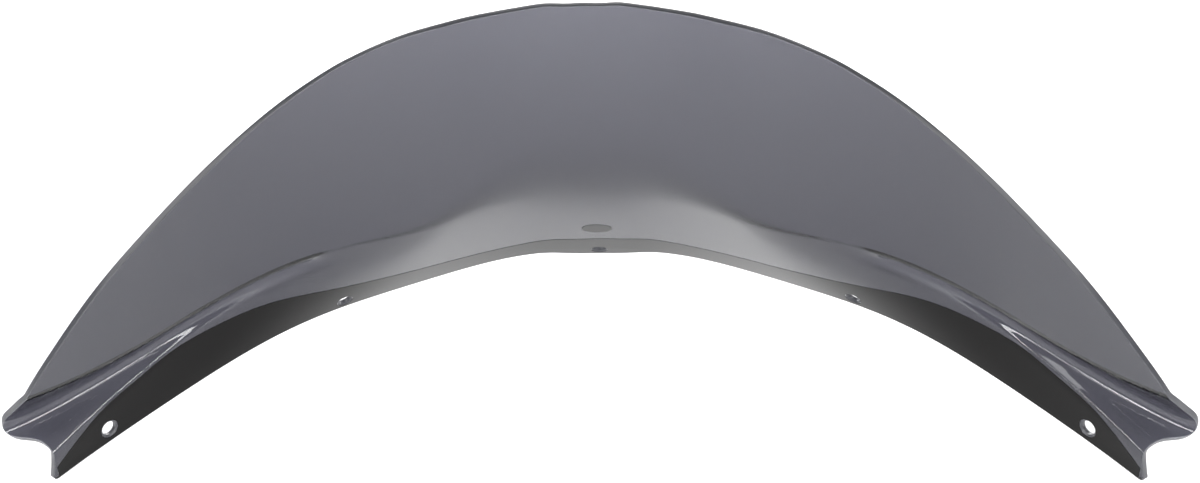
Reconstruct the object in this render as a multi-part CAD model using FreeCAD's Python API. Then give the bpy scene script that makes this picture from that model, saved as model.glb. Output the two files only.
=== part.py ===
import FreeCAD, Part
import os
from math import cos, exp, pi, radians, sin, sqrt, tanh
from FreeCAD import Vector
from Part import Geom2d

# Windshield screen for a motorcycle fairing: one thermoformed sheet of smoke
# polycarbonate with five mounting holes, a printed opaque border along the
# lower edge and a small printed emblem.  Units are millimetres.
# X is across (the part mirrors about X = 0), Y is forward and Z is up.
# The origin is the centre of the middle mounting hole, halfway along its wall.

# --- sheet -----------------------------------------------------------------
sheetThickness = 4.5

# --- trimmed outline ---------------------------------------------------------
topHeight = 334.0           # height up the sheet, in the middle
hornEnd = 490.0             # distance out to the end of the lower edge
hornRadius = 3.5
# top edge: share of hornEnd, share of topHeight
topEdge = [(0.1224, 0.9895), (0.2449, 0.9865), (0.3367, 0.9746), (0.4082, 0.9371),
           (0.4898, 0.8563), (0.5714, 0.7635), (0.6531, 0.6751), (0.7347, 0.5988),
           (0.8163, 0.5284), (0.8980, 0.4461), (0.9551, 0.3593), (0.9837, 0.3054)]
# past the top edge: distance beyond hornEnd, height up the sheet
tipLobe = [(0.5, 86.0), (4.5, 72.0), (8.5, 59.0)]
tipNotch = [(4.5, 48.0), (-2.5, 38.0), (-4.5, 23.0)]

# --- lower edge, seen from above -------------------------------------------
sideHeading = 65.0          # heading the edge tends to at the far ends, degrees
headingLength = 361.0       # length over which the edge turns towards it
edgeDrop = 24.8             # fall of the edge at edgeDropAt out from the middle
edgeDropAt = 500.0
edgeWave = 3.8              # gentle wave of the edge that follows the fairing
edgeWaveLength = 231.0
edgeWaveFade = 294.0
edgeWaveStart = 60.0

# --- section, measured along the sheet up from the lower edge ---------------
lowSlopeMiddle = 50.0       # slope from horizontal, degrees
lowSlopeSide = 87.0
lowSlopeFrom = 140.0        # distance out where the slope starts to change
lowSlopeTo = 400.0
topSlopeMiddle = 76.0       # slope of the flared upper part
topSlopeSide = 70.0
topSlopeTo = 300.0
foldMiddle = 185.0          # height up the sheet of the fold, in the middle
foldSide = 63.0             # the same at the wings
foldSettles = 385.0
foldCrispPastNose = 20.0    # the bend is crisp this far past the nose of the hip
foldSoft = 140.0            # length of the bend at the fold, in the middle
foldCrisp = 13.0            # the same along the hips
hipRise = 24.0              # extra height of the hip ridge at the tips
hipRiseFrom = 370.0
hipRiseOver = 110.0

# --- hips: channels pressed outward into both wings --------------------------
hipNose = 236.0             # distance out where the channel starts
hipTip = hornEnd
hipOnset = 40.0
hipDepthNose = 4.5
hipDepthTip = 33.0
hipDepthPower = 4.0
hipFlareNose = 35.0         # how far the lower wall turns outward, degrees
hipFlareTip = 70.0
hipLedgeSlope = 42.0        # slope of the ledge back to the ridge, degrees
hipLedgeSteepen = 6.0
hipLedgeLeast = 12.0
hipOpen = 0.35              # share of the depth left open at the tips
hipSoftBendNose = 16.0
hipSoftBendTip = 20.0
hipTurnNose = 11.0
hipTurnTip = 28.0
hipRunOut = 1.12            # the hip keeps growing this share past its tip

# --- mounting holes -----------------------------------------------------------
holeDiameter = 11.1
holeChamfer = 1.15          # rider side
holeBackChamfer = 0.6
holeInset = 11.0            # centre of each hole above the lower edge
innerHoleOut = 228.0        # distance out from the middle hole
outerHoleFromEnd = 50.0     # the outer hole sits this far before the end of the lower edge
holeSpots = [0.0, innerHoleOut, hornEnd - outerHoleFromEnd]

# --- printed border and emblem ------------------------------------------------
inkThickness = 0.2
borderInset = 0.8
borderHoleGap = 0.3         # ink stops this far outside each chamfer
borderEndGap = 4.0          # ink stops this far before the end of the lower edge
borderMiddle = 39.5         # height of the ink's upper edge, in the middle
# upper edge of the ink: share of its half length, height up the sheet
borderEdge = [(0.0617, 37.5), (0.1235, 32.5), (0.2058, 31.0), (0.2881, 34.5),
              (0.3909, 37.5), (0.4938, 37.0), (0.5967, 41.5), (0.6996, 42.5),
              (0.7819, 41.5), (0.8436, 36.5), (0.9053, 30.5), (0.9547, 21.0)]
borderEndHeight = 10.0
emblemHeight = 65.5
emblemWidth = 25.0
emblemTall = 19.0

# --- surface grid ---------------------------------------------------------------
gridPastOutline = 16.0      # the surface reaches this far past the trimmed outline
gridBelow = -9.0
gridHalfWidth = hornEnd + gridPastOutline
gridAbove = topHeight + gridPastOutline
gridStretch = 276.0         # rows get further apart with height up the sheet
gridColumns = 112
gridRows = 72
step = 1.0
spanMargin = 6.0
spanSamples = 100
sewTolerance = 0.01


def smooth(t):
    t = min(max(t, 0.0), 1.0)
    return t * t * t * (10.0 - 15.0 * t + 6.0 * t * t)


def blend(a, b, t):
    return a + (b - a) * t


def rowOf(height):
    """Row parameter for a height up the sheet."""
    return gridStretch * 0.5 * (sqrt(1.0 + 4.0 * height / gridStretch) - 1.0)


def heightOf(row):
    return row * (1.0 + row / gridStretch)


def heading(out):
    return radians(sideHeading) * tanh(out / headingLength)


# Lower edge from above, tabulated once by stepping outward from the middle.
edgeX = [0.0]
edgeY = [0.0]
for index in range(int(gridHalfWidth / step) + 4):
    turn = heading((index + 0.5) * step)
    edgeX.append(edgeX[-1] + cos(turn) * step)
    edgeY.append(edgeY[-1] - sin(turn) * step)


def edgePoint(out):
    cell = min(int(out / step), len(edgeX) - 2)
    part = out / step - cell
    wave = edgeWave * sin(2.0 * pi * out / edgeWaveLength)
    wave *= smooth(out / edgeWaveStart) * exp(-out / edgeWaveFade)
    drop = edgeDrop * (out / edgeDropAt) ** 2
    return Vector(blend(edgeX[cell], edgeX[cell + 1], part),
                  blend(edgeY[cell], edgeY[cell + 1], part), wave - drop)


class Section:
    """Upright section through the sheet at one distance out from the middle."""

    def __init__(self, out):
        self.out = out
        self.low = blend(lowSlopeMiddle, lowSlopeSide,
                         smooth((out - lowSlopeFrom) / (lowSlopeTo - lowSlopeFrom)))
        self.top = blend(topSlopeMiddle, topSlopeSide, smooth(out / topSlopeTo))
        along = min(max((out - hipNose) / (hipTip - hipNose), 0.0), hipRunOut)
        onset = smooth((out - hipNose) / hipOnset)
        depth = blend(hipDepthNose, hipDepthTip, along ** hipDepthPower)
        flare = blend(hipFlareNose, hipFlareTip, along)
        ledge = max(self.low - hipLedgeSlope - hipLedgeSteepen * along ** 2,
                    hipLedgeLeast)
        ledgeLength = (1.0 - hipOpen * along ** 4) * depth / sin(radians(ledge))
        rise = hipRise * max(0.0, (out - hipRiseFrom) / hipRiseOver) ** 2
        self.ridge = blend(foldMiddle, foldSide, smooth(out / foldSettles)) + rise
        self.valley = self.ridge - ledgeLength
        self.soft = self.valley - depth / sin(radians(flare))
        self.flare = flare * onset
        self.ledge = ledge * onset
        self.ridgeBend = blend(foldSoft, foldCrisp, smooth(out / (hipNose + foldCrispPastNose)))
        self.valleyBend = blend(hipTurnNose, hipTurnTip, along)
        self.softBend = blend(hipSoftBendNose, hipSoftBendTip, along)
        self.base = edgePoint(out)
        turn = heading(out)
        self.outward = Vector(sin(turn), cos(turn), 0.0)
        self.walk()

    def slope(self, height):
        soft = smooth((height - self.soft) / self.softBend + 0.5)
        valley = smooth((height - self.valley) / self.valleyBend + 0.5)
        ridge = smooth((height - self.ridge) / self.ridgeBend + 0.5)
        angle = self.low + self.flare * (soft - valley)
        angle += -self.ledge * (valley - ridge) + (self.top - self.low) * ridge
        return radians(angle)

    def walk(self):
        first = int(gridBelow / step) - 3
        last = int(gridAbove / step) + 3
        self.first = first
        side = [0.0] * (last - first + 1)
        rise = [0.0] * (last - first + 1)
        for k in range(-first, last - first):
            angle = self.slope((first + k + 0.5) * step)
            side[k + 1] = side[k] - cos(angle) * step
            rise[k + 1] = rise[k] + sin(angle) * step
        for k in range(-first, 0, -1):
            angle = self.slope((first + k - 0.5) * step)
            side[k - 1] = side[k] + cos(angle) * step
            rise[k - 1] = rise[k] - sin(angle) * step
        self.side = side
        self.rise = rise

    def point(self, height):
        cell = int(height / step - self.first)
        part = height / step - self.first - cell
        return (self.base + self.outward * blend(self.side[cell], self.side[cell + 1], part)
                + Vector(0, 0, blend(self.rise[cell], self.rise[cell + 1], part)))


def innerPoint(out, height):
    """Point of the rider-side skin; negative distances are the mirrored wing."""
    point = Section(abs(out)).point(height)
    return point if out >= 0 else Vector(-point.x, point.y, point.z)


def greville(first, last, cells):
    """Where each pole of a clamped cubic with even knots sits."""
    size = (last - first) / cells
    knots = [first] * 4 + [first + size * k for k in range(1, cells)] + [last] * 4
    return [(knots[k + 1] + knots[k + 2] + knots[k + 3]) / 3.0 for k in range(cells + 3)]


rowFirst = rowOf(0.0) + gridBelow
rowLast = rowOf(gridAbove)
columns = greville(-gridHalfWidth, gridHalfWidth, gridColumns)
rows = greville(rowFirst, rowLast, gridRows)


def stationOf(row):
    return heightOf(row) if row > 0 else row


print("laying out the sheet grid")
nudge = 0.25
gridPoints = []
gridNormals = []
for out in columns:
    here = Section(abs(out))
    outer = Section(abs(out) + nudge)
    linePoints = []
    lineNormals = []
    for row in rows:
        height = stationOf(row)
        point = here.point(height)
        alongOut = outer.point(height) - point
        alongUp = here.point(height + nudge) - here.point(height - nudge)
        normal = alongUp.cross(alongOut)
        normal.normalize()
        if out < 0:
            point = Vector(-point.x, point.y, point.z)
            normal = Vector(-normal.x, normal.y, normal.z)
        linePoints.append(point)
        lineNormals.append(normal)
    gridPoints.append(linePoints)
    gridNormals.append(lineNormals)


def skin(offset, span=None):
    """Sheet surface moved outward (away from the rider) by offset; span limits it."""
    poles = [[point + normal * offset for point, normal in zip(line, normals)]
             for line, normals in zip(gridPoints, gridNormals)]
    outKnots = [blend(-gridHalfWidth, gridHalfWidth, k / gridColumns)
                for k in range(gridColumns + 1)]
    rowKnots = [blend(rowFirst, rowLast, k / gridRows) for k in range(gridRows + 1)]
    surface = Part.BSplineSurface()
    surface.buildFromPolesMultsKnots(poles,
                                     [4] + [1] * (gridColumns - 1) + [4],
                                     [4] + [1] * (gridRows - 1) + [4],
                                     outKnots, rowKnots, False, False, 3, 3)
    if span:
        surface.segment(*span)
    return surface


def flat(out, height):
    return FreeCAD.Base.Vector2d(out, rowOf(height))


def mirrored(points):
    return [(-out, height) for out, height in reversed(points)]


def spline(points):
    curve = Geom2d.BSplineCurve2d()
    curve.interpolate([flat(out, height) for out, height in points])
    return curve


def line(start, end):
    return Geom2d.Line2dSegment(flat(*start), flat(*end))


def spanOf(outline):
    """Range of the skin that an outline needs, with a margin round it."""
    spots = [curve.value(blend(curve.FirstParameter, curve.LastParameter, k / spanSamples))
             for curve in outline for k in range(spanSamples + 1)]
    return (max(min(spot.x for spot in spots) - spanMargin, -gridHalfWidth),
            min(max(spot.x for spot in spots) + spanMargin, gridHalfWidth),
            max(min(spot.y for spot in spots) - spanMargin, rowFirst),
            min(max(spot.y for spot in spots) + spanMargin, rowLast))


def slab(outline, low, high):
    """Solid between two skins, trimmed by a closed outline in sheet coordinates."""
    span = spanOf(outline)
    lowSkin = skin(low, span)
    highSkin = skin(high, span)
    lowEdges = [curve.toShape(lowSkin) for curve in outline]
    highEdges = [curve.toShape(highSkin) for curve in outline]
    faces = [Part.Face(lowSkin, Part.Wire(lowEdges)), Part.Face(highSkin, Part.Wire(highEdges))]
    for face in faces:
        face.validate()
    for a, b in zip(lowEdges, highEdges):
        faces.append(Part.makeRuledSurface(a, b))
    shell = Part.Compound(faces)
    shell.sewShape(sewTolerance)
    solid = Part.Solid(shell.Shells[0] if shell.Shells else Part.Shell(shell.Faces))
    if solid.Volume < 0:
        solid.reverse()
    return solid


topRight = [(out * hornEnd, height * topHeight) for out, height in topEdge]
tipRight = [(hornEnd + out, height) for out, height in tipLobe + tipNotch]
rightEdge = [(0, topHeight)] + topRight + tipRight + [(hornEnd, hornRadius)]
upper = mirrored(rightEdge)[:-1] + rightEdge
cornerIn = hornRadius * (1.0 - cos(radians(45.0)))
cornerRight = [(hornEnd, hornRadius), (hornEnd - cornerIn, cornerIn), (hornEnd - hornRadius, 0.0)]
sheetOutline = [spline(upper), spline(cornerRight),
                line((hornEnd - hornRadius, 0.0), (hornRadius - hornEnd, 0.0)),
                spline(mirrored(cornerRight))]

print("sheet")
sheet = slab(sheetOutline, 0.0, sheetThickness)


def frameAt(out, height):
    """Point on the rider-side skin and the outward direction there."""
    surface = innerSkin
    row = rowOf(height)
    point = surface.value(out, row)
    alongOut, alongUp = surface.tangent(out, row)
    normal = alongUp.cross(alongOut)
    normal.normalize()
    return point, normal


def holeTool(point, axis, seam):
    """Bore with a chamfer on both sides, turned about the hole's axis from its seam."""
    across = axis.cross(Vector(0, 0, 1))
    across.normalize()
    across = across * cos(seam) + axis.cross(across) * sin(seam)
    profile = [(0.0, -clearPast), (boreRadius + holeChamfer + clearPast, -clearPast),
               (boreRadius, holeChamfer), (boreRadius, sheetThickness - holeBackChamfer),
               (boreRadius + holeBackChamfer + clearPast, sheetThickness + clearPast),
               (0.0, sheetThickness + clearPast)]
    corners = [point + axis * along + across * radius for radius, along in profile]
    return Part.Face(Part.makePolygon(corners + corners[:1])).revolve(point, axis, 360)


def chamferArea(depth):
    return pi * (2.0 * boreRadius + depth) * depth * sqrt(2.0)


def cutHole(body, point, axis):
    """Cuts one hole and makes sure that its wall and both chamfers came out whole."""
    wanted = [chamferArea(holeBackChamfer), chamferArea(holeChamfer),
              2.0 * pi * boreRadius * wallLength]
    for turn in range(seamTries):
        done = body.cut(holeTool(point, axis, 2.0 * pi * turn / seamTries))
        if len(done.Solids) != 1 or len(done.Faces) != len(body.Faces) + len(wanted):
            continue
        areas = [face.Area for face in done.Faces]
        near = [any(abs(area / want - 1.0) < wallAreaSlack for area in areas)
                for want in wanted]
        flats = [face for face in done.Faces if face.Surface.TypeId == "Part::GeomPlane"]
        if all(near) and not flats and done.isValid():
            return done.Solids[0]
    raise RuntimeError("a mounting hole could not be cut cleanly")


print("holes")
innerSkin = skin(0.0)
holes = sorted({spot * side for spot in holeSpots for side in (-1, 1)})
boreRadius = holeDiameter / 2.0
wallLength = sheetThickness - holeChamfer - holeBackChamfer
clearPast = 3.0
seamTries = 12
wallAreaSlack = 0.2
inkCutters = []
for out in holes:
    point, axis = frameAt(out, holeInset)
    sheet = cutHole(sheet, point, axis)
    inkCutters.append(Part.makeCylinder(boreRadius + holeChamfer + borderHoleGap,
                                        2 * clearPast, point - axis * clearPast, axis))

print("border")
borderEnd = hornEnd - borderEndGap
borderRight = [(0, borderMiddle)] + [(out * borderEnd, height) for out, height in borderEdge]
borderRight.append((borderEnd, borderEndHeight))
borderTop = mirrored(borderRight)[:-1] + borderRight
borderOutline = [spline(borderTop),
                 line((borderEnd, borderEndHeight), (borderEnd, borderInset)),
                 line((borderEnd, borderInset), (-borderEnd, borderInset)),
                 line((-borderEnd, borderInset), (-borderEnd, borderEndHeight))]
border = slab(borderOutline, -inkThickness, 0.0)
for cutter in inkCutters:
    border = border.cut(cutter).Solids[0]

print("emblem")
emblemSides = 16
emblemRow = rowOf(emblemHeight)
fanIn = (innerSkin.value(1.0, emblemRow) - innerSkin.value(-1.0, emblemRow)).Length / 2.0
rim = [(emblemWidth / 2 / fanIn * cos(2 * pi * k / emblemSides),
        emblemHeight + emblemTall / 2 * sin(2 * pi * k / emblemSides))
       for k in range(emblemSides)]
half = emblemSides // 2
emblemOutline = [spline(rim[:half + 1]), spline(rim[half:] + rim[:1])]
emblem = slab(emblemOutline, -inkThickness, 0.0)

# Put the origin halfway along the wall of the middle hole.
point, axis = frameAt(0.0, holeInset)
origin = point + axis * (holeChamfer + wallLength / 2.0)
for out in holes:
    point, axis = frameAt(out, holeInset)
    wallMiddle = point + axis * (holeChamfer + wallLength / 2.0) - origin
    print("hole", round(out), [round(c, 3) for c in wallMiddle], [round(c, 5) for c in axis])
print("origin sits at", [round(c, 3) for c in origin], "from the middle of the lower edge")

os.makedirs("parts", exist_ok=True)
for name, shape in (("screen_sheet", sheet), ("edge_border", border), ("emblem", emblem)):
    shape.translate(origin * -1.0)
    shape.exportStep("parts/" + name + ".step")
    print(name, shape.isValid(), round(shape.Volume, 1), len(shape.Faces), shape.BoundBox)
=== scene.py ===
from math import cos, pi, radians, sin
import bpy
import numpy as np
from mathutils import Matrix, Vector
from mathutils.geometry import delaunay_2d_cdt


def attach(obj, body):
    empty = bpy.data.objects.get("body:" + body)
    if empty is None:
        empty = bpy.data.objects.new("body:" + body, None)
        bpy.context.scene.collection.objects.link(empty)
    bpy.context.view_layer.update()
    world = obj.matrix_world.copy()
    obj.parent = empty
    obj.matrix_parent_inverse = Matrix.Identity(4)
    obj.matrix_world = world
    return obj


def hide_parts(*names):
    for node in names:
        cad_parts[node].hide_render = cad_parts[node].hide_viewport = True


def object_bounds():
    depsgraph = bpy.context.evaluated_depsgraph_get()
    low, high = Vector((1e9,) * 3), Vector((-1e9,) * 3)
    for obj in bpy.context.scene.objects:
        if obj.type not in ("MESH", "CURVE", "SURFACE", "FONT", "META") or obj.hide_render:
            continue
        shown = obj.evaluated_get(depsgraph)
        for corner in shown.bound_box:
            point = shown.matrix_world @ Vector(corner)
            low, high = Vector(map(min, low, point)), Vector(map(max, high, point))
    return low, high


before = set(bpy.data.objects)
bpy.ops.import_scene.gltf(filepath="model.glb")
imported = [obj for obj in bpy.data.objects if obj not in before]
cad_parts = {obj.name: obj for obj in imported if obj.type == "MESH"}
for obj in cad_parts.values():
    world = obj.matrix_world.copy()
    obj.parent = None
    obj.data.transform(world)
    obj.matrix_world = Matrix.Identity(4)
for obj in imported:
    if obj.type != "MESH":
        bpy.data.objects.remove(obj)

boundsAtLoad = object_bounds()
mm = 0.001


def srgb(hexText):
    # "#rrggbb" to the linear colour that a shader's socket takes
    parts = [int(hexText[k:k + 2], 16) / 255 for k in (1, 3, 5)]
    linear = [c / 12.92 if c <= 0.04045 else ((c + 0.055) / 1.055) ** 2.4 for c in parts]
    return (*linear, 1.0)


def node(tree, kind, settings=None, **links):
    # adds a node; settings set its properties or inputs, links join other nodes' sockets to its inputs
    made = tree.nodes.new(kind)
    for key, value in (settings or {}).items():
        if key in made.inputs:
            made.inputs[key].default_value = value
        else:
            setattr(made, key, value)
    for key, socket in links.items():
        tree.links.new(socket, made.inputs[key.replace("_", " ")])
    return made


def shown(sockets, name):
    # of several sockets with one name, the one that the node's settings leave in use
    return next(socket for socket in sockets if socket.name == name and socket.enabled)


def newMaterial(name):
    material = bpy.data.materials.new(name)
    material.use_nodes = True
    material.node_tree.nodes.clear()
    return material, material.node_tree


# the rule that bends the sheet, in millimetres and degrees; pairs run from the middle to the tip
form = {
    # lower edge, seen from above and from the front
    "sideHeading": 65.0, "headingLength": 361.0,
    "edgeDrop": 24.8, "edgeDropAt": 500.0,
    "edgeWave": 3.8, "edgeWaveLength": 231.0, "edgeWaveFade": 294.0, "edgeWaveStart": 60.0,
    # slope below and above the fold, and where the fold runs
    "lowSlope": (50.0, 87.0), "lowSlopeSpan": (140.0, 400.0),
    "topSlope": (76.0, 70.0), "topSlopeTo": 300.0,
    "fold": (185.0, 63.0), "foldSettles": 385.0, "foldBend": (140.0, 5.0), "foldCrispPastNose": 20.0,
    # hip channel pressed outward into each wing
    "hipSpan": (236.0, 490.0), "hipOnset": 40.0, "hipRunOut": 1.12,
    "hipDepth": (4.5, 33.0), "hipDepthPower": 4.0, "hipFlare": (35.0, 70.0),
    "hipLedgeSlope": 42.0, "hipLedgeSteepen": 6.0, "hipLedgeLeast": 12.0, "hipOpen": 0.35,
    "hipSoftBend": (16.0, 20.0), "hipTurn": (11.0, 28.0),
    "hipRise": 24.0, "hipRiseFrom": 370.0, "hipRiseOver": 110.0,
    "origin": (0.0, -5.185, 10.063),    # middle hole, halfway along its wall
    "rowStretch": 276.0,
}


def smooth(t):
    t = np.clip(t, 0.0, 1.0)
    return t * t * t * (10 - 15 * t + 6 * t * t)


def blend(pair, t):
    return pair[0] + (pair[1] - pair[0]) * t


def slopeTable(out, height):
    # slope of the sheet, in radians, for columns `out` and rows `height`
    lowFrom, lowTo = form["lowSlopeSpan"]
    low = blend(form["lowSlope"], smooth((out - lowFrom) / (lowTo - lowFrom)))
    top = blend(form["topSlope"], smooth(out / form["topSlopeTo"]))
    nose, tip = form["hipSpan"]
    along = np.clip((out - nose) / (tip - nose), 0.0, form["hipRunOut"])
    onset = smooth((out - nose) / form["hipOnset"])
    depth = blend(form["hipDepth"], along ** form["hipDepthPower"])
    flare = blend(form["hipFlare"], along)
    ledge = low - form["hipLedgeSlope"] - form["hipLedgeSteepen"] * along ** 2
    ledge = np.maximum(ledge, form["hipLedgeLeast"])
    ledgeLength = (1 - form["hipOpen"] * along ** 4) * depth / np.sin(np.radians(ledge))
    rise = form["hipRise"] * np.maximum(0, (out - form["hipRiseFrom"]) / form["hipRiseOver"]) ** 2
    ridge = blend(form["fold"], smooth(out / form["foldSettles"])) + rise
    valley = ridge - ledgeLength
    soft = valley - depth / np.sin(np.radians(flare))
    h = height[None, :]
    softStep = smooth((h - soft[:, None]) / blend(form["hipSoftBend"], along)[:, None] + 0.5)
    valleyStep = smooth((h - valley[:, None]) / blend(form["hipTurn"], along)[:, None] + 0.5)
    foldBend = blend(form["foldBend"], smooth(out / (nose + form["foldCrispPastNose"])))
    ridgeStep = smooth((h - ridge[:, None]) / foldBend[:, None] + 0.5)
    angle = low[:, None] + (flare * onset)[:, None] * (softStep - valleyStep)
    angle += -(ledge * onset)[:, None] * (valleyStep - ridgeStep) + (top - low)[:, None] * ridgeStep
    return np.radians(angle)


def buildTable(halfWidth=510, below=-12, above=350):
    # the rider-side skin on a 1 mm grid, right wing only
    out = np.arange(0, halfWidth + 1, dtype=float)
    turn = lambda a: np.radians(form["sideHeading"]) * np.tanh(a / form["headingLength"])
    mid = turn(out[:-1] + 0.5)
    x = np.concatenate([[0], np.cumsum(np.cos(mid))])
    y = -np.concatenate([[0], np.cumsum(np.sin(mid))])
    wave = form["edgeWave"] * np.sin(2 * pi * out / form["edgeWaveLength"])
    wave = wave * smooth(out / form["edgeWaveStart"]) * np.exp(-out / form["edgeWaveFade"])
    z = wave - form["edgeDrop"] * (out / form["edgeDropAt"]) ** 2
    height = np.arange(below, above + 1, dtype=float)
    angle = slopeTable(out, height[:-1] + 0.5)
    zero = -below
    side = np.concatenate([np.zeros((len(out), 1)), np.cumsum(-np.cos(angle), 1)], 1)
    rise = np.concatenate([np.zeros((len(out), 1)), np.cumsum(np.sin(angle), 1)], 1)
    side -= side[:, zero:zero + 1]
    rise -= rise[:, zero:zero + 1]
    heading = turn(out)[:, None]
    points = np.stack([x[:, None] + np.sin(heading) * side, y[:, None] + np.cos(heading) * side,
                       z[:, None] + rise], -1)
    return out, height, points - np.array(form["origin"])


tableOut, tableHeight, tablePoints = buildTable()


def onSheet(flatPoints):
    # sheet coordinates (distance out, height up) to the rider-side skin and its outward normal
    flatPoints = np.asarray(flatPoints, float)
    a = np.abs(flatPoints[:, 0])
    side = np.where(flatPoints[:, 0] < 0, -1.0, 1.0)

    def cell(values, grid):
        k = np.clip(np.floor(values - grid[0]).astype(int), 1, len(grid) - 3)
        return k, values - grid[0] - k

    def weights(t):
        # smooth cubic through the table points, with its slope
        w = np.stack([-0.5 * t + t * t - 0.5 * t ** 3, 1 - 2.5 * t * t + 1.5 * t ** 3,
                      0.5 * t + 2 * t * t - 1.5 * t ** 3, -0.5 * t * t + 0.5 * t ** 3])
        d = np.stack([-0.5 + 2 * t - 1.5 * t * t, -5 * t + 4.5 * t * t,
                      0.5 + 4 * t - 4.5 * t * t, -t + 1.5 * t * t])
        return w, d

    i, u = cell(a, tableOut)
    j, v = cell(flatPoints[:, 1], tableHeight)
    wu, du = weights(u)
    wv, dv = weights(v)
    position = np.zeros((len(a), 3))
    alongOut = np.zeros((len(a), 3))
    alongUp = np.zeros((len(a), 3))
    for p in range(4):
        for q in range(4):
            corner = tablePoints[i + p - 1, j + q - 1]
            position += (wu[p] * wv[q])[:, None] * corner
            alongOut += (du[p] * wv[q])[:, None] * corner
            alongUp += (wu[p] * dv[q])[:, None] * corner
    normal = np.cross(alongUp, alongOut)
    normal /= np.linalg.norm(normal, axis=1)[:, None]
    for array in (position, normal, alongOut, alongUp):
        array[:, 0] *= side
    alongOut *= side[:, None]
    return position, normal, alongOut, alongUp


def rowOf(height):
    # outlines are drawn in evenly spaced rows, which stretch towards the top of the sheet
    k = form["rowStretch"]
    return k * 0.5 * (np.sqrt(1 + 4 * np.asarray(height, float) / k) - 1)


def heightOf(row):
    return row * (1 + row / form["rowStretch"])


def splineThrough(stations, spacing):
    # even points along a natural cubic through the stations, in sheet coordinates
    pts = np.array([(a, rowOf(h)) for a, h in stations])
    t = np.concatenate([[0], np.cumsum(np.linalg.norm(np.diff(pts, axis=0), axis=1))])
    n = len(t)
    gap = np.diff(t)
    matrix = np.eye(n)
    right = np.zeros((n, 2))
    for k in range(1, n - 1):
        matrix[k, k - 1:k + 2] = gap[k - 1], 2 * (gap[k - 1] + gap[k]), gap[k]
        right[k] = 6 * ((pts[k + 1] - pts[k]) / gap[k] - (pts[k] - pts[k - 1]) / gap[k - 1])
    bend = np.linalg.solve(matrix, right)
    fineSteps = 4000
    fine = np.linspace(0, t[-1], fineSteps)
    k = np.clip(np.searchsorted(t, fine, side="right") - 1, 0, n - 2)
    h = gap[k][:, None]
    l = (fine - t[k])[:, None]
    r = h - l
    curve = (bend[k] * r ** 3 + bend[k + 1] * l ** 3) / (6 * h) + (pts[k] / h - bend[k] * h / 6) * r
    curve += (pts[k + 1] / h - bend[k + 1] * h / 6) * l
    curve[:, 1] = heightOf(curve[:, 1])
    return evenly(curve, spacing)


def evenly(curve, spacing):
    length = np.concatenate([[0], np.cumsum(np.linalg.norm(np.diff(curve, axis=0), axis=1))])
    count = max(2, int(round(length[-1] / spacing)) + 1)
    want = np.linspace(0, length[-1], count)
    return np.stack([np.interp(want, length, curve[:, 0]), np.interp(want, length, curve[:, 1])], -1)


def mirrored(points):
    return [(-a, h) for a, h in reversed(points)]


def closedLoop(parts):
    # joins runs of points into one closed loop without doubled corners
    loop = []
    for part in parts:
        loop.extend(part[:-1].tolist())
    return np.array(loop)


def holeLoop(centre, radius, count):
    # a true circle of the given radius on the sheet, in sheet coordinates
    centre = np.array(centre, float)
    _, normal, alongOut, alongUp = onSheet([centre])
    first = alongOut[0] / np.linalg.norm(alongOut[0])
    second = np.cross(normal[0], first)
    jacobian = np.stack([alongOut[0], alongUp[0]], 1)
    loop = []
    for k in range(count):
        angle = 2 * pi * k / count
        want = radius * (cos(angle) * first + sin(angle) * second)
        loop.append(centre + np.linalg.lstsq(jacobian, want, rcond=None)[0])
    return np.array(loop)


def signedArea(loop):
    return 0.5 * np.sum(loop[:, 0] * np.roll(loop[:, 1], -1) - np.roll(loop[:, 0], -1) * loop[:, 1])


def insideMask(points, loop):
    # which points have an odd number of the loop's edges to their right
    x, y = points[:, 0], points[:, 1]
    inside = np.zeros(len(points), bool)
    for (ax, ay), (bx, by) in zip(loop, np.roll(loop, -1, axis=0)):
        if ay == by:
            continue
        crosses = (ay > y) != (by > y)
        inside ^= crosses & (x < (bx - ax) * (y - ay) / (by - ay) + ax)
    return inside


def distanceTo(points, loop):
    best = np.full(len(points), 1e9)
    for start, end in zip(loop, np.roll(loop, -1, axis=0)):
        line = end - start
        t = np.clip(((points - start) @ line) / max(line @ line, 1e-12), 0, 1)
        best = np.minimum(best, np.linalg.norm(points - start - t[:, None] * line, axis=1))
    return best


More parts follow.
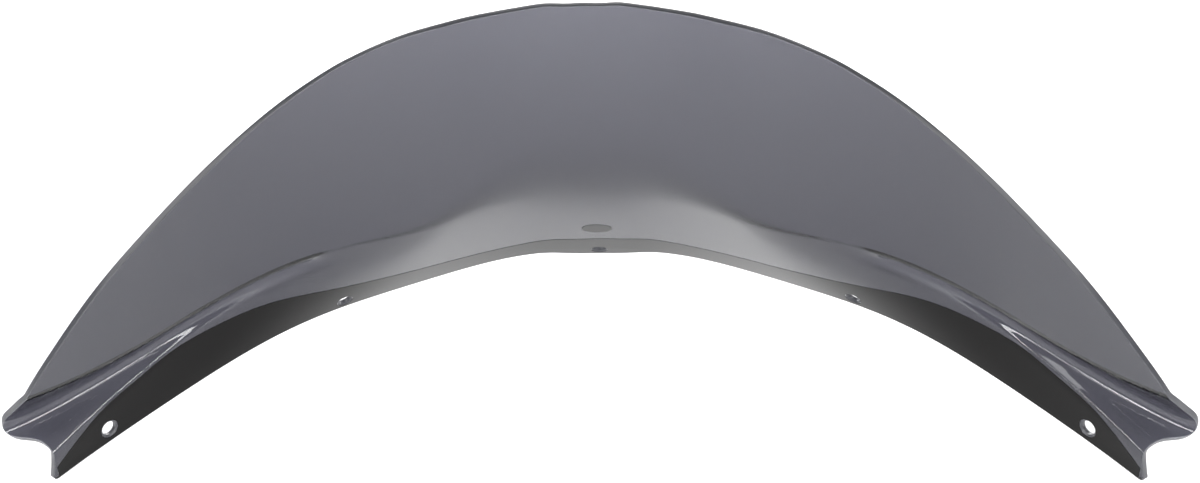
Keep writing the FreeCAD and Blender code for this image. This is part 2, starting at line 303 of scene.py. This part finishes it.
def trimmedGrid(outline, holes, stepOut, rows):
    # triangles that fill the outline and leave the holes open; loops come first in the vertices
    edgeClear, holeClear, sameSpot = 0.45 * stepOut, 0.3, 1e-9
    loops = [outline] + holes
    reach = np.max(np.abs(outline[:, 0]))
    columns = np.arange(0, reach, stepOut)
    columns = np.concatenate([-columns[:0:-1], columns])
    grid = np.array([(a, h) for a in columns for h in rows])
    keep = insideMask(grid, outline)
    grid = grid[keep]
    keep = distanceTo(grid, outline) > edgeClear
    for hole in holes:
        keep &= ~insideMask(grid, hole) & (distanceTo(grid, hole) > holeClear)
    points = np.concatenate(loops + [grid[keep]])
    edges = []
    start = 0
    for loop in loops:
        count = len(loop)
        edges += [(start + k, start + (k + 1) % count) for k in range(count)]
        start += count
    flat = [Vector(point * mm) for point in points]
    made, _, triangles, origin, _, _ = delaunay_2d_cdt(flat, edges, [], 0, sameSpot)
    assert len(made) == len(points), "the trimmed grid gained or lost points"
    faces = np.array([f for f in triangles if len(f) == 3])
    place = np.array([o[0] if o else -1 for o in origin])
    faces = place[faces]
    middle = points[faces].mean(1)
    good = insideMask(middle, outline)
    for hole in holes:
        good &= ~insideMask(middle, hole)
    faces = faces[good]
    ab = points[faces[:, 1]] - points[faces[:, 0]]
    ac = points[faces[:, 2]] - points[faces[:, 0]]
    flip = ab[:, 0] * ac[:, 1] - ab[:, 1] * ac[:, 0] < 0
    faces[flip] = faces[flip][:, ::-1]
    return points, faces, [len(loop) for loop in loops]


def rimNormals(profile, rounded):
    # for each step of a rim profile, the normals at its two ends as (away, outward) pairs
    steps = [np.subtract(two, one) for one, two in zip(profile, profile[1:])]
    flat = [np.array((step[1], -step[0])) / np.linalg.norm(step) for step in steps]
    if not rounded:
        return [(n, n) for n in flat]
    joints = [one + two for one, two in zip(flat, flat[1:])]
    joints = [np.array((0.0, -1.0))] + joints + [np.array((0.0, 1.0))]
    joints = [joint / np.linalg.norm(joint) for joint in joints]
    return list(zip(joints, joints[1:]))


def shellMesh(name, points, faces, counts, thickness, profiles):
    # closed mesh: rider-side skin, outer skin and a rim round every loop, with exact normals.
    # profiles: for each loop, (inset, depth) steps through the thickness in mm, and whether the
    # steps round off into each other
    base, normal, _, _ = onSheet(points)
    size = len(points)
    verts = [base, base + normal * thickness]
    corners = [faces, (faces + size)[:, ::-1]]                  # rider side looks back at the rider
    normals = [-normal[faces], normal[faces[:, ::-1]]]
    quads, quadNormals = [], []
    start, top = 0, 2 * size
    for count, (profile, rounded) in zip(counts, profiles):
        ids = np.arange(start, start + count)
        p, n = base[ids], normal[ids]
        away = np.cross(n, np.roll(p, -1, axis=0) - np.roll(p, 1, axis=0))
        away /= np.linalg.norm(away, axis=1)[:, None]
        around = 1 if signedArea(points[ids]) > 0 else -1
        outside = 1 if start == 0 else -1                       # from the material towards the gap
        away *= around * outside
        rings = [ids]
        for inset, depth in profile[1:-1]:
            verts.append(p + away * inset + n * depth)
            rings.append(np.arange(top, top + count))
            top += count
        rings.append(ids + size)
        for one, two, (first, last) in zip(rings, rings[1:], rimNormals(profile, rounded)):
            nextOne, nextTwo = np.roll(one, -1), np.roll(two, -1)
            lowEnd, highEnd = away * first[0] + n * first[1], away * last[0] + n * last[1]
            quad = np.stack([one, two, nextTwo, nextOne], 1)
            nextLow, nextHigh = np.roll(lowEnd, -1, axis=0), np.roll(highEnd, -1, axis=0)
            quadNormal = np.stack([lowEnd, highEnd, nextHigh, nextLow], 1)
            if around * outside < 0:
                quad, quadNormal = quad[:, ::-1], quadNormal[:, ::-1]
            quads.append(quad)
            quadNormals.append(quadNormal)
        start += count
    triangles, quads = np.concatenate(corners), np.concatenate(quads)
    mesh = bpy.data.meshes.new(name)
    mesh.from_pydata((np.concatenate(verts) * mm).tolist(), [], triangles.tolist() + quads.tolist())
    mesh.polygons.foreach_set("use_smooth", [True] * len(mesh.polygons))
    mesh.polygons.foreach_set("material_index", [0] * len(triangles) + [1] * len(quads))
    mesh.update()
    shading = [block.reshape(-1, 3) for block in normals + quadNormals]
    shading = np.concatenate(shading)
    shading /= np.linalg.norm(shading, axis=1)[:, None]
    mesh.normals_split_custom_set(shading.tolist())
    return mesh


def addPiece(name, mesh, cadNode):
    piece = bpy.data.objects.new(name, mesh)
    bpy.context.scene.collection.objects.link(piece)
    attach(piece, "root")
    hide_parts(cadNode)
    return piece


def smokePolycarbonate(name, roughness):
    # clear polycarbonate, thermoformed: polished faces, and a smoke dye in the mass, so that the
    # tint deepens with the way through it
    material, tree = newMaterial(name)
    place = node(tree, "ShaderNodeTexCoord")
    # forming ripple a hand's width long, 12 to a metre
    ripple = node(tree, "ShaderNodeTexNoise", {"Scale": 12.0, "Detail": 2.0, "Roughness": 0.4},
                  Vector=place.outputs["Object"])
    bump = node(tree, "ShaderNodeBump", {"Strength": 0.05, "Distance": 0.0006}, Height=ripple.outputs["Fac"])
    # hazy patches 40 mm across that wiping leaves
    haze = node(tree, "ShaderNodeTexNoise", {"Scale": 25.0, "Detail": 5.0}, Vector=place.outputs["Object"])
    rough = node(tree, "ShaderNodeMapRange",
                 {"From Min": 0.3, "From Max": 0.8, "To Min": roughness, "To Max": roughness * 3},
                 Value=haze.outputs["Fac"])
    surface = node(tree, "ShaderNodeBsdfPrincipled",
                   {"Base Color": srgb("#ffffff"), "IOR": 1.585, "Transmission Weight": 1.0},
                   Roughness=rough.outputs["Result"], Normal=bump.outputs["Normal"])
    # specks of dust about 0.5 mm across, some 22 mm apart
    specks = node(tree, "ShaderNodeTexVoronoi", {"Scale": 45.0}, Vector=place.outputs["Object"])
    near = node(tree, "ShaderNodeMapRange",
                {"From Min": 0.012, "From Max": 0.02, "To Min": 0.45, "To Max": 0.0},
                Value=specks.outputs["Distance"])
    dust = node(tree, "ShaderNodeBsdfDiffuse", {"Color": srgb("#b9bac0")})
    dusty = node(tree, "ShaderNodeMixShader", None, Fac=near.outputs["Result"])
    tree.links.new(surface.outputs[0], dusty.inputs[1])
    tree.links.new(dust.outputs[0], dusty.inputs[2])
    tint = node(tree, "ShaderNodeVolumeAbsorption", {"Color": (0.0, 0.0, 0.085, 1.0), "Density": 585.0})
    node(tree, "ShaderNodeOutputMaterial", None, Surface=dusty.outputs[0], Volume=tint.outputs[0])
    return material


def routedEdge(name, colour):
    # cut edge of the sheet and its drilled holes: satin from the router, light sinks into it,
    # with tool marks 0.7 mm apart
    material, tree = newMaterial(name)
    place = node(tree, "ShaderNodeTexCoord")
    marks = node(tree, "ShaderNodeTexNoise", {"Scale": 1400.0, "Detail": 2.0}, Vector=place.outputs["Object"])
    bump = node(tree, "ShaderNodeBump", {"Strength": 0.3, "Distance": 0.0001}, Height=marks.outputs["Fac"])
    surface = node(tree, "ShaderNodeBsdfPrincipled",
                   {"Base Color": srgb(colour), "IOR": 1.585, "Transmission Weight": 0.4, "Roughness": 0.35},
                   Normal=bump.outputs["Normal"])
    node(tree, "ShaderNodeOutputMaterial", None, Surface=surface.outputs[0])
    return material


def glossInk(name, colour, roughness, peel):
    # screen-printed two-part ink, cured glossy: orange peel 2 mm long, and cloudy patches of
    # gloss 17 mm across
    material, tree = newMaterial(name)
    place = node(tree, "ShaderNodeTexCoord")
    dimples = node(tree, "ShaderNodeTexNoise", {"Scale": 450.0, "Detail": 2.0},
                   Vector=place.outputs["Object"])
    cloud = node(tree, "ShaderNodeTexNoise", {"Scale": 60.0, "Detail": 4.0}, Vector=place.outputs["Object"])
    bump = node(tree, "ShaderNodeBump", {"Strength": peel, "Distance": 0.0002}, Height=dimples.outputs["Fac"])
    rough = node(tree, "ShaderNodeMapRange", {"To Min": roughness * 0.7, "To Max": roughness * 1.5},
                 Value=cloud.outputs["Fac"])
    surface = node(tree, "ShaderNodeBsdfPrincipled",
                   {"Base Color": srgb(colour), "IOR": 1.45, "Specular IOR Level": 0.3},
                   Roughness=rough.outputs["Result"], Normal=bump.outputs["Normal"])
    node(tree, "ShaderNodeOutputMaterial", None, Surface=surface.outputs[0])
    return material


sheet = {
    "thickness": 4.5, "edgeRound": 0.5, "roundSteps": 3,
    # outline as (distance out, height up), right wing only
    "topHeight": 334.0,
    "topEdge": [(60, 330.5), (120, 329.5), (165, 325.5), (200, 313),
                (240, 286), (280, 255), (320, 225.5), (360, 200),
                (400, 176.5), (440, 149), (468, 120), (482, 102)],
    "tipLobe": [(490.5, 86), (494.5, 72), (498.5, 59)],
    "tipNotch": [(494.5, 48), (487.5, 38), (485.5, 23)],
    "hornEnd": 490.0, "hornRadius": 3.5, "hornPoints": 7,
    # mounting holes
    "holeRadius": 5.55, "holeChamfer": 1.15, "backChamfer": 0.6, "holeInset": 11.0,
    "holeSpots": [-440.0, -228.0, 0.0, 228.0, 440.0], "holeSides": 48,
    # mesh steps: fine rows up to the fold, then coarse ones
    "edgeStep": 2.2, "stepOut": 4.0, "fineStep": 2.0, "fineTo": 112.0, "coarseStep": 4.0,
    "polished": 0.004, "edgeColour": "#4e4f55",
}

print("cutting and forming the sheet")
rightEdge = [(0, sheet["topHeight"])] + sheet["topEdge"] + sheet["tipLobe"] + sheet["tipNotch"]
rightEdge.append((sheet["hornEnd"], sheet["hornRadius"]))
upper = splineThrough(mirrored(rightEdge)[:-1] + rightEdge, sheet["edgeStep"])
horn, hornRadius = sheet["hornEnd"], sheet["hornRadius"]
hornArc = np.array([(horn - hornRadius + hornRadius * cos(t), hornRadius - hornRadius * sin(t))
                    for t in np.linspace(0, pi / 2, sheet["hornPoints"])])
lower = evenly(np.array([hornArc[-1], hornArc[-1] * (-1, 1)]), sheet["edgeStep"])
outline = closedLoop([upper, hornArc, lower, hornArc[::-1] * (-1, 1)])
# both skins stop short of the outline by the rounding of the edge
edgeRound = sheet["edgeRound"]
direction = np.roll(outline, -1, axis=0) - np.roll(outline, 1, axis=0)
direction /= np.linalg.norm(direction, axis=1)[:, None]
skinOutline = outline + np.stack([direction[:, 1], -direction[:, 0]], -1) * edgeRound
rows = np.concatenate([np.arange(sheet["fineStep"], sheet["fineTo"], sheet["fineStep"]),
                       np.arange(sheet["fineTo"], sheet["topHeight"], sheet["coarseStep"])])
holeChamfer, backChamfer = sheet["holeChamfer"], sheet["backChamfer"]
chamferRadius = sheet["holeRadius"] + holeChamfer
holes = [holeLoop((out, sheet["holeInset"]), chamferRadius, sheet["holeSides"]) for out in sheet["holeSpots"]]
points, faces, counts = trimmedGrid(skinOutline, holes, sheet["stepOut"], rows)
thickness = sheet["thickness"]
roundAngle = pi / 2 / sheet["roundSteps"]
rounding = [(edgeRound * sin(k * roundAngle), edgeRound * (1 - cos(k * roundAngle)))
            for k in range(sheet["roundSteps"] + 1)]
edgeProfile = rounding + [(inset, thickness - depth) for inset, depth in reversed(rounding)]
holeProfile = [(0, 0), (holeChamfer, holeChamfer), (holeChamfer, thickness - backChamfer),
               (holeChamfer - backChamfer, thickness), (0, thickness)]
mesh = shellMesh("screenSheet", points, faces, counts, thickness,
                 [(edgeProfile, True)] + [(holeProfile, False)] * len(holes))
mesh.materials.append(smokePolycarbonate("smokePolycarbonatePolished", sheet["polished"]))
mesh.materials.append(routedEdge("smokePolycarbonateRouted", sheet["edgeColour"]))
addPiece("screenSheet", mesh, "screen_sheet")
print("sheet faces", len(mesh.polygons))

# both prints are films of one ink, which stand a hair off the sheet
film = {"ink": 0.2, "lift": 0.01, "weld": 0.001, "rimAngle": 45.0, "faceShare": 0.7}


def inkFilmTree():
    # the plan of a print lies on the rider side of the sheet and grows into a closed film of ink
    tree = bpy.data.node_groups.new("inkFilm", "GeometryNodeTree")
    socket = tree.interface.new_socket
    socket("Plan", in_out="INPUT", socket_type="NodeSocketGeometry")
    for label in ("Ink", "Lift", "Rim Angle"):
        socket(label, in_out="INPUT", socket_type="NodeSocketFloat")
    socket("Material", in_out="INPUT", socket_type="NodeSocketMaterial")
    socket("Film", in_out="OUTPUT", socket_type="NodeSocketGeometry")
    given = node(tree, "NodeGroupInput")
    towardsRider = node(tree, "GeometryNodeInputNamedAttribute",
                        {"data_type": "FLOAT_VECTOR", "Name": "riderSide"})
    facing = shown(towardsRider.outputs, "Attribute")
    gap = node(tree, "ShaderNodeVectorMath", {"operation": "SCALE"},
               Vector=facing, Scale=given.outputs["Lift"])
    lifted = node(tree, "GeometryNodeSetPosition", None,
                  Geometry=given.outputs["Plan"], Offset=gap.outputs[0])
    depth = node(tree, "ShaderNodeMath", {"operation": "SUBTRACT"})
    tree.links.new(given.outputs["Ink"], depth.inputs[0])
    tree.links.new(given.outputs["Lift"], depth.inputs[1])
    grown = node(tree, "GeometryNodeExtrudeMesh", {"mode": "FACES", "Individual": False},
                 Mesh=lifted.outputs["Geometry"], Offset=facing, Offset_Scale=depth.outputs[0])
    back = node(tree, "GeometryNodeFlipFaces", None, Mesh=lifted.outputs["Geometry"])
    closed = node(tree, "GeometryNodeJoinGeometry", None, Geometry=grown.outputs["Mesh"])
    tree.links.new(back.outputs["Mesh"], closed.inputs["Geometry"])
    welded = node(tree, "GeometryNodeMergeByDistance", {"Distance": film["weld"] * mm},
                  Geometry=closed.outputs["Geometry"])
    # the corner round the rim is kept sharp, so that the face of the ink shades flat up to it
    bend = node(tree, "GeometryNodeInputMeshEdgeAngle")
    corner = node(tree, "FunctionNodeCompare", {"data_type": "FLOAT", "operation": "GREATER_THAN"})
    tree.links.new(bend.outputs["Unsigned Angle"], corner.inputs[0])
    tree.links.new(given.outputs["Rim Angle"], corner.inputs[1])
    marked = node(tree, "GeometryNodeStoreNamedAttribute",
                  {"data_type": "BOOLEAN", "domain": "EDGE", "Name": "sharp_edge"},
                  Geometry=welded.outputs["Geometry"])
    tree.links.new(corner.outputs["Result"], shown(marked.inputs, "Value"))
    real = node(tree, "GeometryNodeRealizeInstances", None, Geometry=marked.outputs["Geometry"])
    painted = node(tree, "GeometryNodeSetMaterial", None, Geometry=real.outputs["Geometry"],
                   Material=given.outputs["Material"])
    node(tree, "NodeGroupOutput", None, Film=painted.outputs["Geometry"])
    return tree


def printedFilm(name, points, faces, material):
    # prints one closed film over the given stretch of the sheet
    base, normal, _, _ = onSheet(points)
    planMesh = bpy.data.meshes.new(name + "Plan")
    planMesh.from_pydata((base * mm).tolist(), [], faces.tolist())
    planMesh.polygons.foreach_set("use_smooth", [True] * len(planMesh.polygons))
    facing = planMesh.attributes.new("riderSide", "FLOAT_VECTOR", "POINT")
    facing.data.foreach_set("vector", (-normal).ravel())
    plan = bpy.data.objects.new(name + "Plan", planMesh)
    bpy.context.scene.collection.objects.link(plan)
    modifier = plan.modifiers.new("inkFilm", "NODES")
    modifier.node_group = inkFilm
    sizes = {"Ink": film["ink"] * mm, "Lift": film["lift"] * mm, "Rim Angle": radians(film["rimAngle"]),
             "Material": material}
    for item in inkFilm.interface.items_tree:
        if item.name in sizes:
            modifier[item.identifier] = sizes[item.name]
    evaluated = plan.evaluated_get(bpy.context.evaluated_depsgraph_get())
    mesh = bpy.data.meshes.new_from_object(evaluated)
    mesh.name = name
    bpy.data.objects.remove(plan)
    followSheet(mesh)
    return mesh


def followSheet(mesh):
    # shades the two faces of a film exactly as the sheet curves, and leaves its rim as it is
    facing = np.zeros(3 * len(mesh.vertices))
    mesh.attributes["riderSide"].data.foreach_get("vector", facing)
    corners = np.zeros(len(mesh.loops), int)
    mesh.loops.foreach_get("vertex_index", corners)
    facing = facing.reshape(-1, 3)[corners]
    shading = np.zeros(3 * len(mesh.loops))
    mesh.corner_normals.foreach_get("vector", shading)
    shading = shading.reshape(-1, 3)
    across = (facing * shading).sum(1)
    flat = np.abs(across) > film["faceShare"]
    shading[flat] = facing[flat] * np.sign(across[flat])[:, None]
    mesh.attributes.remove(mesh.attributes["riderSide"])
    mesh.normals_split_custom_set(shading.tolist())


inkFilm = inkFilmTree()

border = {
    "inset": 0.8, "holeGap": 0.3, "end": 486.0, "endHeight": 10.0,
    # upper limit of the print as (distance out, height up), right wing only
    "middle": 39.5,
    "edge": [(30, 37.5), (60, 32.5), (100, 31), (140, 34.5),
             (190, 37.5), (240, 37), (290, 41.5), (340, 42.5),
             (380, 41.5), (410, 36.5), (440, 30.5), (464, 21)],
    "edgeStep": 2.2, "stepOut": 4.0, "rows": (2.0, 45.0, 2.5),
    "colour": "#0d0c0c", "roughness": 0.07, "peel": 0.15,
}

print("printing the border")
borderRight = [(0, border["middle"])] + border["edge"] + [(border["end"], border["endHeight"])]
borderTop = splineThrough(mirrored(borderRight)[:-1] + borderRight, border["edgeStep"])
endDown = np.array([(border["end"], border["endHeight"]), (border["end"], border["inset"])])
endDown = evenly(endDown, border["edgeStep"])
borderLow = evenly(np.array([endDown[-1], endDown[-1] * (-1, 1)]), border["edgeStep"])
borderOutline = closedLoop([borderTop, endDown, borderLow, endDown[::-1] * (-1, 1)])
clearRings = [holeLoop((out, sheet["holeInset"]), chamferRadius + border["holeGap"], sheet["holeSides"])
              for out in sheet["holeSpots"]]
points, faces, _ = trimmedGrid(borderOutline, clearRings, border["stepOut"], np.arange(*border["rows"]))
borderInk = glossInk("borderInkGlossBlack", border["colour"], border["roughness"], border["peel"])
mesh = printedFilm("edgeBorder", points, faces, borderInk)
addPiece("edgeBorder", mesh, "edge_border")

emblem = {
    "height": 65.5, "width": 25.0, "tall": 19.0, "sides": 64,
    "stepOut": 1.0, "rows": (50.0, 80.0, 1.0),
    "colour": "#1b1b1d", "roughness": 0.2, "peel": 0.2,
}

print("printing the emblem")
_, _, alongOut, alongUp = onSheet([(0.0, emblem["height"])])
halfOut = emblem["width"] / 2 / np.linalg.norm(alongOut[0])
halfUp = emblem["tall"] / 2 / np.linalg.norm(alongUp[0])
oval = []
for k in range(emblem["sides"]):
    angle = 2 * pi * k / emblem["sides"]
    oval.append((halfOut * cos(angle), emblem["height"] + halfUp * sin(angle)))
points, faces, _ = trimmedGrid(np.array(oval), [], emblem["stepOut"], np.arange(*emblem["rows"]))
emblemInk = glossInk("emblemInkDarkGrey", emblem["colour"], emblem["roughness"], emblem["peel"])
mesh = printedFilm("emblemOval", points, faces, emblemInk)
addPiece("emblemOval", mesh, "emblem")

# in metres, degrees and watts
studio = {
    "floorDrop": 0.0005, "floorSize": 14.0, "floorGlow": 0.42, "paperTone": (0.80, 0.84),
    "worldColour": "#f4f6fa", "worldLight": 0.25,
    # each softbox: where it stands, what it faces, its width, its height and its power
    "softboxes": {
        "softboxLeft": ((-1.5, -0.6, 1.7), (0, -0.1, 0), 1.2, 1.2, 16),
        "softboxRight": ((1.5, -0.6, 1.7), (0, -0.1, 0), 1.2, 1.2, 16),
        "softboxBack": ((0, 1.8, 1.6), (0, 0, 0.1), 2.2, 1.0, 14),
        "softboxTipLeft": ((-1.15, -1.75, 1.25), (-0.39, -0.25, 0.03), 0.7, 0.7, 4.6),
        "softboxTipRight": ((1.15, -1.75, 1.25), (0.39, -0.25, 0.03), 0.7, 0.7, 4.6),
        "softboxLow": ((0, 0.9, 0.5), (0, 0, -0.04), 1.6, 0.4, 23),
        "softboxFloor": ((0, -0.72, 0.30), (0, -0.72, 0), 1.4, 0.2, 9),
    },
    "azimuth": 2.13, "elevation": 31.26, "roll": -0.44, "lean": 1.21, "distance": 1.0072,
    "target": (-0.0007, -0.1148, 0.0747), "lens": 39.75, "sensor": 36.0, "shiftX": 0.0054,
}

print("setting the studio")
size = studio["floorSize"]
floorHeight = boundsAtLoad[0][2] - studio["floorDrop"]
floorMesh = bpy.data.meshes.new("studioFloor")
floorCorners = [(x * size, y * size, floorHeight) for x, y in ((-1, -1), (1, -1), (1, 1), (-1, 1))]
floorMesh.from_pydata(floorCorners, [], [(0, 1, 2, 3)])
floor = bpy.data.objects.new("studioFloor", floorMesh)
bpy.context.scene.collection.objects.link(floor)
# backdrop paper with a tooth 3 mm long, lit through so that it stays white
floorMaterial, tree = newMaterial("paperSweepWhite")
place = node(tree, "ShaderNodeTexCoord")
grain = node(tree, "ShaderNodeTexNoise", {"Scale": 300.0, "Detail": 3.0}, Vector=place.outputs["Object"])
tone = node(tree, "ShaderNodeMapRange", {"To Min": studio["paperTone"][0], "To Max": studio["paperTone"][1]},
            Value=grain.outputs["Fac"])
paper = node(tree, "ShaderNodeBsdfDiffuse", {"Roughness": 0.5}, Color=tone.outputs["Result"])
glow = node(tree, "ShaderNodeEmission", {"Color": srgb("#ffffff"), "Strength": studio["floorGlow"]})
both = node(tree, "ShaderNodeAddShader")
tree.links.new(paper.outputs[0], both.inputs[0])
tree.links.new(glow.outputs[0], both.inputs[1])
node(tree, "ShaderNodeOutputMaterial", None, Surface=both.outputs[0])
floorMesh.materials.append(floorMaterial)

world = bpy.data.worlds.new("studioWorld")
bpy.context.scene.world = world
world.use_nodes = True
background = world.node_tree.nodes["Background"]
background.inputs["Color"].default_value = srgb(studio["worldColour"])
background.inputs["Strength"].default_value = studio["worldLight"]

for name, (place, aim, width, height, power) in studio["softboxes"].items():
    light = bpy.data.lights.new(name, "AREA")
    light.shape = "RECTANGLE"
    light.size = width
    light.size_y = height
    light.energy = power
    lamp = bpy.data.objects.new(name, light)
    bpy.context.scene.collection.objects.link(lamp)
    lamp.location = place
    lamp.rotation_euler = (Vector(aim) - Vector(place)).to_track_quat("-Z", "Y").to_euler()

cameraData = bpy.data.cameras.new("camera")
cameraData.lens = studio["lens"]
cameraData.sensor_width = studio["sensor"]
cameraData.shift_x = studio["shiftX"]
camera = bpy.data.objects.new("camera", cameraData)
bpy.context.scene.collection.objects.link(camera)
tilt, side, turn = radians(studio["elevation"]), radians(studio["azimuth"]), radians(studio["roll"])
forward = Vector((-sin(side) * cos(tilt), cos(side) * cos(tilt), -sin(tilt)))
right = Vector((cos(side), sin(side), 0))
up = right.cross(forward)
right, up = right * cos(turn) + up * sin(turn), up * cos(turn) - right * sin(turn)
pose = Matrix((right, up, -forward)).transposed().to_4x4()
pose.translation = Vector(studio["target"]) - forward * studio["distance"]
# the screen stands a little askew, and the camera takes up the lean
camera.matrix_world = Matrix.Rotation(radians(studio["lean"]), 4, "Y") @ pose
bpy.context.scene.camera = camera
bpy.context.scene.view_settings.view_transform = "Standard"

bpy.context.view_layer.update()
